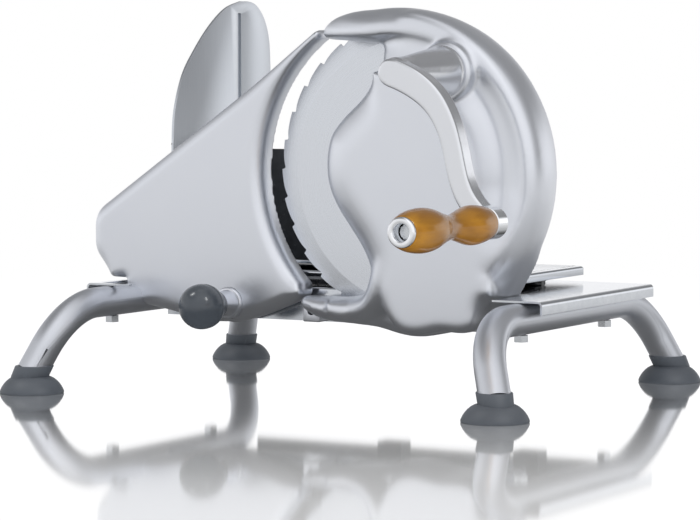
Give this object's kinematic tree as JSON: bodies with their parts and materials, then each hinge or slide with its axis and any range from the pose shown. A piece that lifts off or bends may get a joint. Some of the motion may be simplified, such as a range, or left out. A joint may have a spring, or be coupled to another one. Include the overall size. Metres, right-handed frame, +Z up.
{
  "type": "hand crank food slicer",
  "caption": "Hand crank food slicer: toothed round blade in a cast guard, sliding food table, sloping gauge plate with knob, wooden crank grip and bent tube legs with rubber feet.",
  "frame": {"origin": "under the middle of the object's box, on the floor plane through the feet", "axes": "+X along the cut and the food table's travel, +Y from the crank side to the food side, +Z up"},
  "size_m": [0.362, 0.3824, 0.2461],
  "materials": {
    "cast_silver": "satin silver",
    "polished_steel": "polished",
    "brushed_steel": "brushed",
    "brushed_aluminium": "brushed",
    "gear_steel": "machined",
    "bronze": "machined",
    "grey_rubber": "matte",
    "grey_plastic": "semi-gloss",
    "black_plastic": "satin",
    "amber_wood": "glossy varnish"
  },
  "bodies": {
    "base": {"base_tray": "polished_steel", "leg_tube_left": "cast_silver", "leg_tube_right": "cast_silver", "foot_left_front": "grey_rubber", "foot_left_rear": "grey_rubber", "foot_right_front": "grey_rubber", "foot_right_rear": "grey_rubber", "leg_nut_left_front": "brushed_steel", "leg_nut_left_rear": "brushed_steel", "leg_nut_right_front": "brushed_steel", "leg_nut_right_rear": "brushed_steel", "gauge_guide": "brushed_aluminium", "guide_screw_1": "brushed_steel", "guide_screw_2": "brushed_steel", "guide_block_1": "black_plastic", "guide_block_2": "black_plastic", "housing": "cast_silver", "gear_cover": "brushed_aluminium", "gear_cover_screw_1": "brushed_steel", "gear_cover_screw_2": "brushed_steel", "gear_cover_screw_3": "brushed_steel", "gear_cover_screw_4": "brushed_steel", "gear_cover_screw_5": "brushed_steel", "housing_screw_1": "brushed_steel", "housing_screw_2": "brushed_steel", "spindle_bush_front": "bronze", "spindle_bush_rear": "bronze", "crank_bush": "bronze", "idler_pin": "brushed_steel"},
    "idler": {"idler_gear": "gear_steel"},
    "cutter": {"blade": "brushed_steel", "blade_spindle": "gear_steel", "blade_gear": "gear_steel", "blade_cover_disc": "polished_steel", "blade_screw_1": "brushed_steel", "blade_screw_2": "brushed_steel", "blade_screw_3": "brushed_steel"},
    "crank": {"crank_arm": "cast_silver", "crank_shaft": "gear_steel", "crank_gear": "gear_steel", "grip_pin": "polished_steel"},
    "grip": {"grip_wood": "amber_wood", "grip_ferrule": "polished_steel"},
    "gauge": {"gauge_plate": "cast_silver", "knob_bush": "cast_silver", "guide_rod_1": "polished_steel", "guide_rod_2": "polished_steel"},
    "knob": {"gauge_knob": "grey_plastic", "adjuster_screw": "brushed_steel"},
    "carriage": {"food_table": "polished_steel", "table_rail": "black_plastic", "pusher_plate": "brushed_aluminium", "table_rivet_1": "brushed_steel", "table_rivet_2": "brushed_steel"},
    "holder": {"food_holder": "black_plastic", "holder_bolt": "brushed_steel", "holder_knob": "black_plastic"}
  },
  "joints": [
    {"name": "crank_turn", "type": "hinge", "parent": "base", "child": "crank", "pos_m": [0.09506, 0, 0.20016], "axis": [0, 1, 0], "continuous": true},
    {"name": "idler_spin", "type": "hinge", "parent": "base", "child": "idler", "pos_m": [0.07731, 0, 0.17414], "axis": [0, 1, 0], "continuous": true},
    {"name": "blade_spin", "type": "hinge", "parent": "base", "child": "cutter", "pos_m": [0.0528, 0, 0.1382], "axis": [0, 1, 0], "continuous": true},
    {"name": "grip_spin", "type": "hinge", "parent": "crank", "child": "grip", "pos_m": [0.15696, 0, 0.11426], "axis": [0, 1, 0], "continuous": true},
    {"name": "gauge_slide", "type": "slide", "parent": "base", "child": "gauge", "axis": [0, -1, 0], "range_m": [-0.0025, 0.0175]},
    {"name": "knob_turn", "type": "hinge", "parent": "gauge", "child": "knob", "pos_m": [-0.071, 0, 0.0534], "axis": [0, -1, 0], "range_deg": [-46, 316]},
    {"name": "carriage_slide", "type": "slide", "parent": "base", "child": "carriage", "axis": [1, 0, 0], "range_m": [0, 0.105]},
    {"name": "holder_slide", "type": "slide", "parent": "carriage", "child": "holder", "axis": [0, 1, 0], "range_m": [-0.06, 0.019]}
  ],
  "couplings": [
    {"joint": "blade_spin", "follows": "crank_turn", "ratio": 0.6},
    {"joint": "idler_spin", "follows": "crank_turn", "ratio": -1.3333},
    {"joint": "knob_turn", "follows": "gauge_slide", "rad_per_m": 314.16}
  ]
}
